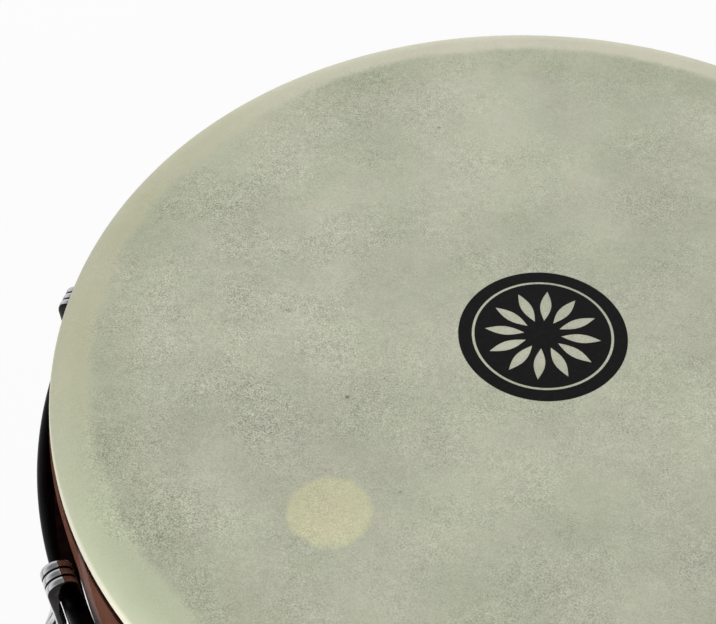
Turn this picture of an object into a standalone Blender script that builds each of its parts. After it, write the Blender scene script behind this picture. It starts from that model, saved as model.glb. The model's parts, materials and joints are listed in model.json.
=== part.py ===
"""A conga: a tall hand drum of glued wooden staves, with a synthetic head tuned by hooks and nuts.

Metres, +Z up. The origin is on the drum's axis, at the floor. Sizes at the top end are given as a depth,
measured down from the playing face, because that is how the fittings of a drum are set out.
"""

import math

import bmesh
import bpy
from mathutils import Matrix, Vector

# Overall sizes
HEIGHT = 0.762  # floor to playing face
HEAD_RADIUS = 0.1492  # outside of the head's edge
BELLY_RADIUS = 0.192
BELLY_DEPTH = 0.342
FOOT_RADIUS = 0.122
FOOT_SLOPE = 0.15  # how fast the shell widens above its foot
WALL = 0.011  # thickness of the staves

# Turned collar at the top of the shell, where the head slides
COLLAR_DEPTH = 0.080
COLLAR_SLOPE = 0.02
BEARING_CHAMFER = 0.004

# Head: a clear film with a fibre layer laminated on top of it
CROWN_RADIUS = 0.009
FIBRE_THICKNESS = 0.0005
FILM_THICKNESS = 0.0005
SHOULDER_DEPTH = 0.017  # where the film's collar has reached its full radius

# Rim, a steel band with a rounded top edge, and the flesh hoop that it presses down
RIM_DEPTH = 0.0358
RIM_THICKNESS = 0.003
RIM_HEIGHT = 0.016
FLESH_HOOP_HEIGHT = 0.009
FILM_GAP = 0.0015  # between the film's collar and the shell, at the flesh hoop

# Tuning hooks, one for each lug
LUGS = 9
FIRST_LUG = math.radians(174.0)
ROD_RADIUS = 0.004
CLAW_THICKNESS = 0.003
CLAW_WIDTH = 0.0075
CLAW_CROWN = 0.0083  # extra height of the claw's solid crown above the rim
CLAW_LEG = 0.0065  # length of the claw's tip below the rim's rounded top
CLAW_CLEARANCE = 0.0012  # between the claw's tip and the film's collar
NECK_LENGTH = 0.011  # run in which the claw's flat bar becomes the round rod
NECK_THICKNESS = 0.0058
ROD_SPARE = 0.009  # thread left showing below the nut

# Lugs, nuts and washers
HOOP_TO_PLATE = 0.0149  # from the flesh hoop down to the plate's top, which leaves room for tuning
PLATE_WIDTH = 0.024
PLATE_THICKNESS = 0.0025
PLATE_ABOVE = 0.046  # plate above the middle of the eye
PLATE_BELOW = 0.0055  # stops short of the washer, which needs the room between rod and shell
PLATE_CORNER = 0.005
EYE_RADIUS = 0.0084
EYE_HEIGHT = 0.012
EYE_CLEARANCE = 0.0009
WEB_WIDTH = 0.011
NUT_RADIUS = 0.0075
NUT_HEIGHT = 0.011
THREAD_CLEARANCE = 0.0004  # stands for the thread, which is not cut
NUT_TO_SHELL = 0.001
WASHER_RADIUS = 0.008
WASHER_THICKNESS = 0.0015

# Bolts through the shell, and the plates that they pull against inside
BOLTS_ABOVE_EYE = (0.038, 0.018)
BOLT_RADIUS = 0.003
BOLT_HEAD_RADIUS = 0.0055
BOLT_HEAD_HEIGHT = 0.003
BOLT_HOLE_CLEARANCE = 0.0006
BOLT_SPARE = 0.0015
BACKING_WIDTH = 0.013
BACKING_MARGIN = 0.009  # bar beyond each bolt
BACKING_THICKNESS = 0.0025
BACKING_NUT_RADIUS = 0.0055
BACKING_NUT_HEIGHT = 0.005

# Foot
FOOT_RING_HEIGHT = 0.006
FOOT_RING_LIP = 0.008  # how far its lip comes up round the shell
FOOT_RING_THICKNESS = 0.004
FOOT_RING_ROUNDING = 0.002
BAND_CLEARANCE = 0.003  # between the foot ring's lip and the band
BAND_HEIGHT = 0.03
BAND_THICKNESS = 0.0015

# Fits and facets
SEAT = 0.0003  # gap between two pieces that rest on each other
SEGMENTS = 8 * LUGS
FLAT = math.cos(math.pi / SEGMENTS)  # a facet's middle lies at this share of its corners' radius
CROWN_STEPS = 3
ZONE_STEPS = 4  # steps of the shell's outline in each of its three curves
EMBED = 0.001  # how deep one shape reaches into another that it is fused with
TRIM = 0.004  # how far a cutting tool stands out of what it cuts

# Sizes that follow from those
FILM_RADIUS = HEAD_RADIUS - FIBRE_THICKNESS - SEAT
EDGE_RADIUS = FILM_RADIUS - FILM_THICKNESS - SEAT
SHELL_TOP = FIBRE_THICKNESS + FILM_THICKNESS + 2 * SEAT
SHELL_BOTTOM = HEIGHT - FOOT_RING_HEIGHT - SEAT
RIM_END = RIM_DEPTH + RIM_HEIGHT
FLESH_HOOP_END = RIM_END + SEAT + FLESH_HOOP_HEIGHT
SHELL_AT_HOOP = EDGE_RADIUS + COLLAR_SLOPE * (FLESH_HOOP_END - CROWN_RADIUS)
FILM_COLLAR = SHELL_AT_HOOP + FILM_GAP + FILM_THICKNESS
RIM_INNER = FILM_COLLAR + CLAW_CLEARANCE + CLAW_THICKNESS + SEAT
RIM_MIDDLE = RIM_INNER + RIM_THICKNESS / 2
RIM_OUTER = RIM_INNER + RIM_THICKNESS
LUG_DEPTH = FLESH_HOOP_END + HOOP_TO_PLATE + PLATE_ABOVE
BOLT_DEPTHS = tuple(LUG_DEPTH - above for above in BOLTS_ABOVE_EYE)

# Places down the rod, measured from the middle of the eye
WASHER_START = EYE_HEIGHT / 2 + SEAT
NUT_START = WASHER_START + WASHER_THICKNESS + SEAT
NUT_END = NUT_START + NUT_HEIGHT
ROD_END = NUT_END + ROD_SPARE

CHROME = ((0.75, 0.75, 0.77), 0.12, 1.0)
STEEL = ((0.55, 0.55, 0.56), 0.35, 1.0)


def hermite(depth, start, start_radius, start_slope, end, end_radius, end_slope):
    """Radius on the smooth curve that leaves start and reaches end at the given slopes."""
    length = end - start
    t = (depth - start) / length
    return (
        (2 * t**3 - 3 * t**2 + 1) * start_radius
        + (t**3 - 2 * t**2 + t) * start_slope * length
        + (3 * t**2 - 2 * t**3) * end_radius
        + (t**3 - t**2) * end_slope * length
    )


def collar_radius(depth):
    return EDGE_RADIUS + COLLAR_SLOPE * (depth - CROWN_RADIUS)


def shell_curve(depth):
    """Outside radius of the shell's smooth form: a straight collar, a swelling belly, a tapering foot."""
    if depth <= COLLAR_DEPTH:
        return collar_radius(depth)
    if depth <= BELLY_DEPTH:
        collar_end = collar_radius(COLLAR_DEPTH)
        return hermite(
            depth, COLLAR_DEPTH, collar_end, COLLAR_SLOPE, BELLY_DEPTH, BELLY_RADIUS, 0.0
        )
    return hermite(depth, BELLY_DEPTH, BELLY_RADIUS, 0.0, SHELL_BOTTOM, FOOT_RADIUS, -FOOT_SLOPE)


def outline_depths():
    """Depths at which the shell's outline has a corner, from the end of the collar to the foot."""
    middle = (COLLAR_DEPTH + BELLY_DEPTH) / 2
    zones = ((COLLAR_DEPTH, middle), (middle, BELLY_DEPTH), (BELLY_DEPTH, SHELL_BOTTOM))
    depths = [
        low + (high - low) * k / ZONE_STEPS for low, high in zones for k in range(ZONE_STEPS)
    ]
    return [*depths, SHELL_BOTTOM]


OUTLINE = outline_depths()


def shell_outer(depth):
    """Outside radius of the shell as it is turned, straight between the corners of its outline."""
    if depth <= COLLAR_DEPTH:
        return collar_radius(depth)
    for low, high in zip(OUTLINE, OUTLINE[1:]):
        if depth <= high or high == OUTLINE[-1]:
            share = (depth - low) / (high - low)
            return (1 - share) * shell_curve(low) + share * shell_curve(high)


def shell_inner(depth):
    return shell_outer(depth) - WALL


def plate_back(depth):
    return shell_outer(depth) + SEAT


def backing_face(depth):
    """Radius of the face of a backing plate that lies against the wall's flat inner facet."""
    return shell_inner(depth) * FLAT - SEAT


# The rod's line runs from its neck beside the rim to where its nut just clears the shell.
NECK_RADIUS = RIM_OUTER * FLAT + 2 * SEAT + ROD_RADIUS
NECK_DEPTH = RIM_END + NECK_LENGTH / 3
NUT_END_RADIUS = shell_outer(LUG_DEPTH + NUT_END) + NUT_TO_SHELL + NUT_RADIUS
ROD_TILT = math.atan2(NUT_END_RADIUS - NECK_RADIUS, LUG_DEPTH + NUT_END - NECK_DEPTH)
EYE_CENTRE = NECK_RADIUS + math.tan(ROD_TILT) * (LUG_DEPTH - NECK_DEPTH)


def rod_point(along, outward=0.0):
    """Radius and depth of the point this far down the rod from the eye, and this far off its line."""
    radius = EYE_CENTRE + along * math.sin(ROD_TILT) + outward * math.cos(ROD_TILT)
    depth = LUG_DEPTH + along * math.cos(ROD_TILT) - outward * math.sin(ROD_TILT)
    return radius, depth


def clear_scene():
    for obj in list(bpy.data.objects):
        bpy.data.objects.remove(obj, do_unlink=True)


def add_empty(name):
    empty = bpy.data.objects.new(name, None)
    bpy.context.scene.collection.objects.link(empty)
    return empty


def add_object(name, mesh, parent, colour, roughness, metallic=0.0, alpha=1.0):
    finish = bpy.data.materials.new(name + "_finish")
    finish.use_nodes = True
    shader = finish.node_tree.nodes["Principled BSDF"]
    shader.inputs["Base Color"].default_value = (*colour, 1.0)
    shader.inputs["Roughness"].default_value = roughness
    shader.inputs["Metallic"].default_value = metallic
    shader.inputs["Alpha"].default_value = alpha
    if not mesh.materials:
        mesh.materials.append(None)
    mesh.shade_smooth()
    mesh.set_sharp_from_angle(angle=math.radians(32))
    obj = bpy.data.objects.new(name, mesh)
    obj.material_slots[0].link = "OBJECT"
    obj.material_slots[0].material = finish
    obj.parent = parent
    bpy.context.scene.collection.objects.link(obj)
    return obj


def mesh_from(bm, name):
    bmesh.ops.recalc_face_normals(bm, faces=bm.faces)
    mesh = bpy.data.meshes.new(name)
    bm.to_mesh(mesh)
    bm.free()
    return mesh


def turned(name, profile):
    """A mesh made by turning a closed profile of (radius, depth) points round the drum's axis."""
    bm = bmesh.new()
    start = FIRST_LUG + math.pi / SEGMENTS
    points = [
        bm.verts.new((radius * math.cos(start), radius * math.sin(start), HEIGHT - depth))
        for radius, depth in profile
    ]
    edges = []
    for k, (radius, _) in enumerate(profile):
        j = (k + 1) % len(profile)
        if radius > 0 or profile[j][0] > 0:
            edges.append(bm.edges.new((points[k], points[j])))
    bmesh.ops.spin(
        bm,
        geom=points + edges,
        cent=(0, 0, 0),
        axis=(0, 0, 1),
        angle=2 * math.pi,
        steps=SEGMENTS,
        use_merge=True,
    )
    bmesh.ops.remove_doubles(bm, verts=bm.verts, dist=1e-6)
    return mesh_from(bm, name)


def crown(outer_radius, face_depth):
    """Points down the rounded edge of one layer of the head, or of the shell under it."""
    rounding = CROWN_RADIUS - face_depth
    points = []
    for k in range(CROWN_STEPS + 1):
        angle = math.pi / 2 * k / CROWN_STEPS
        radius = outer_radius - rounding * (1 - math.sin(angle))
        points.append((radius, CROWN_RADIUS - rounding * math.cos(angle)))
    return points


def polygon(radius, sides, turn=0.0):
    angles = [turn + 2 * math.pi * k / sides for k in range(sides)]
    return [(radius * math.cos(angle), radius * math.sin(angle)) for angle in angles]


def clear_polygon(radius, sides):
    """A polygon whose sides, not its corners, lie at this radius, so that a rod of it passes through."""
    return polygon(radius / math.cos(math.pi / sides), sides, math.pi / sides)


def rectangle(low_x, high_x, width):
    half = width / 2
    return [(low_x, -half), (high_x, -half), (high_x, half), (low_x, half)]


def skin(bm, rings):
    """Closes a row of rings, each with as many points, into one solid."""
    loops = [[bm.verts.new(point) for point in ring] for ring in rings]
    bm.faces.new(loops[0][::-1])
    bm.faces.new(loops[-1])
    for low, high in zip(loops, loops[1:]):
        for k in range(len(low)):
            j = (k + 1) % len(low)
            bm.faces.new((low[k], low[j], high[j], high[k]))
    return [vert for loop in loops for vert in loop]


def prism(outline, low, high):
    """A straight bar whose section is a closed outline of (x, y) points."""
    bm = bmesh.new()
    skin(bm, [[(x, y, z) for x, y in outline] for z in (low, high)])
    return bm


def cut_across(bm, axis, places):
    """Adds edges round a solid at these places along an axis, so that it can follow a curve there."""
    for place in places:
        point = Vector()
        point[axis] = place
        normal = Vector()
        normal[axis] = 1.0
        geometry = bm.verts[:] + bm.edges[:] + bm.faces[:]
        bmesh.ops.bisect_plane(bm, geom=geometry, plane_co=point, plane_no=normal)


def lay_along_rod(bm):
    """Lays a solid whose -Z runs down the rod from the eye, and +X away from the drum, on the rod's line."""
    for vert in bm.verts:
        radius, depth = rod_point(-vert.co.z, vert.co.x)
        vert.co = Vector((radius, vert.co.y, HEIGHT - depth))
    return bm


def lay_radially(bm, depth):
    """Lays a solid whose +Z points away from the drum's axis at a depth."""
    for vert in bm.verts:
        vert.co = Vector((vert.co.z, vert.co.y, HEIGHT - depth - vert.co.x))
    return bm


def combined(name, bodies, cutters):
    """One closed mesh: the bodies joined by Boolean unions, less the cutters."""
    helpers = []
    for bm in (*bodies, *cutters):
        helper = bpy.data.objects.new("helper", mesh_from(bm, "helper"))
        bpy.context.scene.collection.objects.link(helper)
        helpers.append(helper)
    base = helpers[0]
    for k, helper in enumerate(helpers[1:], start=1):
        modifier = base.modifiers.new("join_or_cut", "BOOLEAN")
        modifier.operation = "UNION" if k < len(bodies) else "DIFFERENCE"
        modifier.object = helper
    graph = bpy.context.evaluated_depsgraph_get()
    made = bpy.data.meshes.new_from_object(base.evaluated_get(graph))
    made.name = name
    for helper in helpers:
        bpy.data.objects.remove(helper, do_unlink=True)
    return made


def lug_azimuth(lug):
    return FIRST_LUG + 2 * math.pi * lug / LUGS


# Shell: staves glued edge to edge and turned, with a bearing edge that follows the head's crown
def shell_mesh():
    inner_top = SHELL_TOP + BEARING_CHAMFER
    profile = crown(EDGE_RADIUS, SHELL_TOP)
    profile += [(shell_outer(depth), depth) for depth in OUTLINE]
    profile += [(shell_inner(depth), depth) for depth in reversed(OUTLINE)]
    profile.append((shell_inner(inner_top), inner_top))
    profile.append((shell_inner(inner_top) + BEARING_CHAMFER, SHELL_TOP))
    return turned("shell", profile)


def bolt_holes_mesh():
    """A rod through the wall for every bolt, joined into one cutting tool."""
    tool = bmesh.new()
    outline = clear_polygon(BOLT_RADIUS + BOLT_HOLE_CLEARANCE, 8)
    for lug in range(LUGS):
        turn = Matrix.Rotation(lug_azimuth(lug), 4, "Z")
        for depth in BOLT_DEPTHS:
            rod = prism(outline, shell_inner(depth) - TRIM, shell_outer(depth) + TRIM)
            lay_radially(rod, depth)
            rod.transform(turn)
            mesh = mesh_from(rod, "bolt_hole")
            tool.from_mesh(mesh)
            bpy.data.meshes.remove(mesh)
    return mesh_from(tool, "bolt_holes")


# Head: the film slides down over the shell's collar, and the fibre layer ends at the crown's lip
def film_mesh():
    end = FLESH_HOOP_END - SEAT
    face = FIBRE_THICKNESS + SEAT
    profile = [(0.0, face), *crown(FILM_RADIUS, face)]
    profile += [(FILM_COLLAR, SHOULDER_DEPTH), (FILM_COLLAR, end)]
    inner = FILM_COLLAR - FILM_THICKNESS
    profile += [(inner, end), (inner, SHOULDER_DEPTH)]
    profile += reversed(crown(FILM_RADIUS - FILM_THICKNESS, face + FILM_THICKNESS))
    profile.append((0.0, face + FILM_THICKNESS))
    return turned("head_film", profile)


def fibre_mesh():
    profile = [(0.0, 0.0), *crown(HEAD_RADIUS, 0.0)]
    profile += reversed(crown(HEAD_RADIUS - FIBRE_THICKNESS, FIBRE_THICKNESS))
    profile.append((0.0, FIBRE_THICKNESS))
    return turned("head_fibre_layer", profile)


# Rim and flesh hoop
def rim_mesh():
    rounding = RIM_THICKNESS / 2
    steps = 4
    profile = [(RIM_OUTER, RIM_END)]
    for k in range(steps + 1):
        angle = math.pi * k / steps
        radius = RIM_MIDDLE + rounding * math.cos(angle)
        profile.append((radius, RIM_DEPTH + rounding * (1 - math.sin(angle))))
    profile.append((RIM_INNER, RIM_END))
    return turned("rim", profile)


def flesh_hoop_mesh():
    low, high = RIM_END + SEAT, FLESH_HOOP_END
    inner, outer = FILM_COLLAR + SEAT, RIM_OUTER - SEAT
    return turned("flesh_hoop", [(outer, low), (inner, low), (inner, high), (outer, high)])


# Foot: a steel band that holds the staves' ends, and the rubber ring under them
def foot_ring_mesh():
    rest = HEIGHT - FOOT_RING_HEIGHT
    lip = rest - FOOT_RING_LIP
    inner = shell_inner(SHELL_BOTTOM) - EMBED
    outer = plate_back(SHELL_BOTTOM) + FOOT_RING_THICKNESS
    profile = [(inner, rest), (plate_back(SHELL_BOTTOM), rest), (plate_back(lip), lip)]
    profile += [(plate_back(lip) + FOOT_RING_THICKNESS / 2, lip), (outer, rest)]
    profile += [(outer, HEIGHT - FOOT_RING_ROUNDING), (outer - FOOT_RING_ROUNDING, HEIGHT)]
    profile.append((inner, HEIGHT))
    return turned("foot_ring", profile)


def band_mesh():
    low = HEIGHT - FOOT_RING_HEIGHT - FOOT_RING_LIP - BAND_CLEARANCE
    high = low - BAND_HEIGHT
    profile = [(plate_back(high), high), (plate_back(high) + BAND_THICKNESS, high)]
    profile += [(plate_back(low) + BAND_THICKNESS, low), (plate_back(low), low)]
    return turned("foot_band", profile)


# Lug plate: sheet steel pressed round the shell, with a forged eye and two bolts
def plate_body():
    half = PLATE_WIDTH / 2
    outline = []
    for quarter, (side, end) in enumerate(((1, 1), (-1, 1), (-1, -1), (1, -1))):
        reach = PLATE_ABOVE if end > 0 else PLATE_BELOW
        centre_x = side * (half - PLATE_CORNER)
        centre_y = end * (reach - PLATE_CORNER)
        for k in range(3):
            angle = (quarter + k / 2) * math.pi / 2
            x = centre_x + PLATE_CORNER * math.cos(angle)
            outline.append((x, centre_y + PLATE_CORNER * math.sin(angle)))
    bm = prism(outline, 0.0, PLATE_THICKNESS)
    cut_across(bm, 0, (-half / 3, half / 3))
    corners = [LUG_DEPTH - depth for depth in OUTLINE]
    cut_across(bm, 1, [up for up in corners if -PLATE_BELOW < up < PLATE_ABOVE])
    for vert in bm.verts:
        across, up, out = vert.co
        depth = LUG_DEPTH - up
        radius = plate_back(depth) + out
        angle = across / plate_back(LUG_DEPTH)
        vert.co = Vector((radius * math.cos(angle), radius * math.sin(angle), HEIGHT - depth))
    return bm


def eye_body():
    return lay_along_rod(prism(polygon(EYE_RADIUS, 12), -EYE_HEIGHT / 2, EYE_HEIGHT / 2))


def eye_web():
    """The block that joins the eye to the plate. Its inner end follows the plate's slope."""
    reach = EYE_HEIGHT / 2 - EMBED
    bm = prism(rectangle(-EYE_RADIUS, 0.0, WEB_WIDTH), -reach, reach)
    for vert in bm.verts:
        if vert.co.x < 0:
            inside = plate_back(LUG_DEPTH - vert.co.z) + PLATE_THICKNESS / 2
            vert.co.x = inside - rod_point(-vert.co.z)[0]
    return lay_along_rod(bm)


def eye_hole():
    reach = EYE_HEIGHT / 2 + TRIM
    return lay_along_rod(prism(clear_polygon(ROD_RADIUS + EYE_CLEARANCE, 10), -reach, reach))


def bolt(depth):
    """A bolt with a low domed head, whose shank runs through the shell and out of its nut inside."""
    front = plate_back(depth) + PLATE_THICKNESS
    inner_end = backing_face(depth) - BACKING_THICKNESS - BACKING_NUT_HEIGHT - BOLT_SPARE
    stops = (
        (inner_end, BOLT_RADIUS),
        (front - EMBED, BOLT_RADIUS),
        (front - EMBED, BOLT_HEAD_RADIUS),
        (front + BOLT_HEAD_HEIGHT / 2, BOLT_HEAD_RADIUS),
        (front + BOLT_HEAD_HEIGHT, BOLT_HEAD_RADIUS / 2),
    )
    bm = bmesh.new()
    skin(bm, [[(x, y, z) for x, y in polygon(radius, 8)] for z, radius in stops])
    return lay_radially(bm, depth)


def lug_plate_mesh():
    bodies = [plate_body(), eye_web(), eye_body(), *[bolt(depth) for depth in BOLT_DEPTHS]]
    return combined("lug_plate", bodies, [eye_hole()])


def backing_plate_mesh():
    """A flat bar inside the shell, with a hexagon nut welded on for each bolt."""
    top, bottom = BOLT_DEPTHS[0] - BACKING_MARGIN, BOLT_DEPTHS[-1] + BACKING_MARGIN
    bar = prism(rectangle(top, bottom, BACKING_WIDTH), -BACKING_THICKNESS, 0.0)
    cut_across(bar, 0, [depth for depth in OUTLINE if top < depth < bottom])
    for vert in bar.verts:
        depth, across, out = vert.co
        vert.co = Vector((backing_face(depth) + out, across, HEIGHT - depth))
    nuts, holes = [], []
    for depth in BOLT_DEPTHS:
        face = backing_face(depth) - BACKING_THICKNESS
        end = face - BACKING_NUT_HEIGHT
        nuts.append(lay_radially(prism(polygon(BACKING_NUT_RADIUS, 6), end, face + EMBED), depth))
        outline = clear_polygon(BOLT_RADIUS + SEAT, 8)
        holes.append(lay_radially(prism(outline, end - TRIM, face + 2 * TRIM), depth))
    return combined("backing_plate", [bar, *nuts], holes)


# Tuning hook: a round rod whose top is forged flat and bent over the rim as a claw
def bar_section(width, thickness, corner):
    """Eight points round a flat bar with its corners taken off, as (across, off the bar's line)."""
    w, t = width / 2, thickness / 2
    upper = [(w, t - corner), (w - corner, t), (corner - w, t), (-w, t - corner)]
    return upper + [(-across, -off) for across, off in upper]


def rod_section(radius):
    """Eight points on a circle, set so that the flat bar's sides run on into the round rod's."""
    return polygon(radius, 8, math.pi / 8)


def claw_stop(inside, outside, width, corner):
    """A stop of the hook's bar whose section reaches from one (radius, depth) point to another."""
    across, down = outside[0] - inside[0], outside[1] - inside[1]
    middle = ((inside[0] + outside[0]) / 2, (inside[1] + outside[1]) / 2)
    way = math.atan2(-down, -across)
    return (*middle, way, bar_section(width, math.hypot(across, down), corner))


def claw_stops():
    """Stops from the claw's tip, up inside the rim, over it and down outside."""
    corner = 0.3 * CLAW_THICKNESS
    middle = RIM_MIDDLE * FLAT
    inside = RIM_THICKNESS / 2 + SEAT
    outside = inside + CLAW_THICKNESS
    seat_depth = RIM_DEPTH + RIM_THICKNESS / 2
    crown_depth = seat_depth - CLAW_CROWN
    tip_depth = seat_depth + CLAW_LEG
    shrink = 0.2 * CLAW_THICKNESS
    blunt = (middle - inside - shrink, tip_depth), (middle - outside + shrink, tip_depth)
    full = (middle - inside, tip_depth - shrink), (middle - outside, tip_depth - shrink)
    stops = [claw_stop(*blunt, CLAW_WIDTH - 2 * shrink, corner / 2)]
    stops.append(claw_stop(*full, CLAW_WIDTH, corner))
    for k in range(5):
        way = math.pi * k / 4
        under = (middle - inside * math.cos(way), seat_depth - inside * math.sin(way))
        over = (middle - outside * math.cos(way), crown_depth - outside * math.sin(way))
        stops.append(claw_stop(under, over, CLAW_WIDTH, corner))
    leg_depth = NECK_DEPTH - NECK_LENGTH
    leg = (middle + inside, leg_depth), (middle + outside, leg_depth)
    stops.append(claw_stop(*leg, CLAW_WIDTH, corner))
    return stops


def hook_mesh():
    # Each stop is a radius, a depth, the way the bar runs there and its section. The way is an angle
    # from straight up, turning outwards.
    leg_radius, leg_depth = claw_stops()[-1][:2]
    neck_radius = RIM_OUTER * FLAT + SEAT + NECK_THICKNESS / 2
    neck_lean = math.atan2(NECK_RADIUS - leg_radius, NECK_DEPTH - leg_depth)
    neck = bar_section(2 * ROD_RADIUS, NECK_THICKNESS, 0.3 * NECK_THICKNESS)
    rod = rod_section(ROD_RADIUS)
    rod_tip = rod_section(0.7 * ROD_RADIUS)
    rod_chamfer = 0.3 * ROD_RADIUS
    stops = claw_stops()
    stops.append((neck_radius, NECK_DEPTH - NECK_LENGTH / 2, math.pi - neck_lean, neck))
    stops.append((NECK_RADIUS, NECK_DEPTH, math.pi - ROD_TILT, rod))
    stops.append((*rod_point(ROD_END - rod_chamfer), math.pi - ROD_TILT, rod))
    stops.append((*rod_point(ROD_END), math.pi - ROD_TILT, rod_tip))
    rings = []
    for radius, depth, way, section in stops:
        off_x, off_z = -math.cos(way), math.sin(way)
        rings.append(
            [(radius + off * off_x, across, HEIGHT - depth + off * off_z) for across, off in section]
        )
    bm = bmesh.new()
    skin(bm, rings)
    return mesh_from(bm, "hook")


# Nut and washer, each about its own axis
def threaded_ring_mesh(name, outline, height):
    body = prism(outline, -height / 2, height / 2)
    reach = height / 2 + TRIM
    hole = prism(clear_polygon(ROD_RADIUS + THREAD_CLEARANCE, 10), -reach, reach)
    return combined(name, [body], [hole])


def put_on_rod(obj, along, azimuth):
    """Places an object that has its own axis along its Z on a rod, this far down it from the eye."""
    radius, depth = rod_point(along)
    obj.location = (radius * math.cos(azimuth), radius * math.sin(azimuth), HEIGHT - depth)
    obj.rotation_euler = (0.0, -ROD_TILT, azimuth)


def build():
    clear_scene()
    drum = add_empty("drum_body")
    tension = add_empty("tension_ring")

    shell = add_object("shell", shell_mesh(), drum, (0.17, 0.045, 0.03), 0.2)
    cutter = add_object("bolt_holes", bolt_holes_mesh(), drum, (0.5, 0.5, 0.5), 0.5)
    cutter.hide_render = True
    cutter.display_type = "WIRE"
    drilling = shell.modifiers.new("bolt_holes", "BOOLEAN")
    drilling.operation = "DIFFERENCE"
    drilling.object = cutter

    add_object("head_film", film_mesh(), tension, (0.72, 0.68, 0.58), 0.25, alpha=0.4)
    add_object("head_fibre_layer", fibre_mesh(), drum, (0.46, 0.47, 0.36), 0.55)
    add_object("foot_band", band_mesh(), drum, *CHROME)
    add_object("foot_ring", foot_ring_mesh(), drum, (0.02, 0.02, 0.02), 0.8)
    add_object("rim", rim_mesh(), tension, (0.015, 0.015, 0.016), 0.3)
    add_object("flesh_hoop", flesh_hoop_mesh(), tension, (0.5, 0.5, 0.52), 0.4, 1.0)

    lug_plate = lug_plate_mesh()
    backing_plate = backing_plate_mesh()
    hook = hook_mesh()
    nut = threaded_ring_mesh("nut", polygon(NUT_RADIUS, 6), NUT_HEIGHT)
    washer = threaded_ring_mesh("washer", polygon(WASHER_RADIUS, 12), WASHER_THICKNESS)
    for lug in range(LUGS):
        azimuth = lug_azimuth(lug)
        number = f"_{lug + 1:02d}"
        for name, mesh, parent, finish in (
            ("lug_plate", lug_plate, drum, CHROME),
            ("backing_plate", backing_plate, drum, STEEL),
            ("hook", hook, tension, CHROME),
        ):
            piece = add_object(name + number, mesh, parent, *finish)
            piece.rotation_euler.z = azimuth
        piece = add_object("washer" + number, washer, drum, *STEEL)
        put_on_rod(piece, WASHER_START + WASHER_THICKNESS / 2, azimuth)
        piece = add_object("nut" + number, nut, drum, *CHROME)
        put_on_rod(piece, NUT_START + NUT_HEIGHT / 2, azimuth)


build()
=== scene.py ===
"""The looks of a conga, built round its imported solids.

Metres, +Z up, the drum's axis at x = y = 0 and its foot on z = 0. The player stands at -Y. The file goes
through the drum in the order in which one is put together.
"""

import json
import math

import bmesh
import bpy
from mathutils import Matrix, Vector


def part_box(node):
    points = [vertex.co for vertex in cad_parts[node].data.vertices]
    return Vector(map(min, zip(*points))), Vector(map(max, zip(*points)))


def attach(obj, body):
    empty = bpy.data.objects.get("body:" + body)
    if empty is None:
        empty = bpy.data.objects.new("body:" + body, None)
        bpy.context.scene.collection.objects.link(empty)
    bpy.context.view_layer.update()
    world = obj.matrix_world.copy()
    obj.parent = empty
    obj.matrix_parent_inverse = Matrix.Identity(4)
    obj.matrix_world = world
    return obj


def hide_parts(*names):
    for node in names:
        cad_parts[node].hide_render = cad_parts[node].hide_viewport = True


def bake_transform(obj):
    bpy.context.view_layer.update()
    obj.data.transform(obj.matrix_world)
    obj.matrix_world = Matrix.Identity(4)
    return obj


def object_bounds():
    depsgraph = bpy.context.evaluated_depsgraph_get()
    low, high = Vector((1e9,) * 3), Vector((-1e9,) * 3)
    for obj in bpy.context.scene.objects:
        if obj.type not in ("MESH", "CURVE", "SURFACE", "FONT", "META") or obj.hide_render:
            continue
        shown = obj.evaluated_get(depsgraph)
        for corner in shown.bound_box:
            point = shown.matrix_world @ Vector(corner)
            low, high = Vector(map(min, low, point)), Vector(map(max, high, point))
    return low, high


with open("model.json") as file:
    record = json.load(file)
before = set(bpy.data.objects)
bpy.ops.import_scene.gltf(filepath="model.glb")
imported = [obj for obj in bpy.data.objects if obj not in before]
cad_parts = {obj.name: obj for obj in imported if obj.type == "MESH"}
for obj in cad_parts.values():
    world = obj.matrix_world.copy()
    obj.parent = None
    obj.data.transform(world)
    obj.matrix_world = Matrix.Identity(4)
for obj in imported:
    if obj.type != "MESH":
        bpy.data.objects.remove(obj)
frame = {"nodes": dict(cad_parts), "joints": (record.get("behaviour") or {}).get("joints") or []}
cad_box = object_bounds()


# Shell: thirty-six staves of oak, sawn with slanting sides and glued edge to edge into a barrel. It is
# turned smooth in a lathe, a straight collar is cut at its top, and the outside is stained and lacquered.
FACE = cad_box[1][2]  # height of the playing face
FIT = 0.0003  # gap left between pieces that rest on each other
ROUND_STEPS = 324  # facets round everything that is turned
CROWN_STEPS = 14
STAVES = 36
WALL = 0.011
SHELL_TOP = 0.0016  # depths are measured down from the playing face
SHELL_LIFT = 0.0063  # from the floor up to the ends of the staves
SHELL_BOTTOM = FACE - SHELL_LIFT
COLLAR_END = 0.080
RUBBED_END = 0.060  # where the head slides, the collar's lacquer is rubbed dull
BELLY = 0.342
EDGE_RADIUS = 0.1476
BELLY_RADIUS = 0.192
FOOT_RADIUS = 0.122
COLLAR_SLOPE = 0.02
FOOT_SLOPE = -0.15
CROWN_RADIUS = 0.009
BEARING_CHAMFER = 0.004
RUBBED_ROWS = 3  # rows of faces down the rubbed length, below the crown
BODY_ROWS = 80  # rows of faces from the collar's end to the foot


def stave_curve(depth, start, start_radius, start_slope, end, end_radius, end_slope):
    """Radius on the smooth curve that leaves start and reaches end at the given slopes."""
    length = end - start
    t = (depth - start) / length
    return (
        (2 * t**3 - 3 * t**2 + 1) * start_radius
        + (t**3 - 2 * t**2 + t) * start_slope * length
        + (3 * t**2 - 2 * t**3) * end_radius
        + (t**3 - t**2) * end_slope * length
    )


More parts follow.
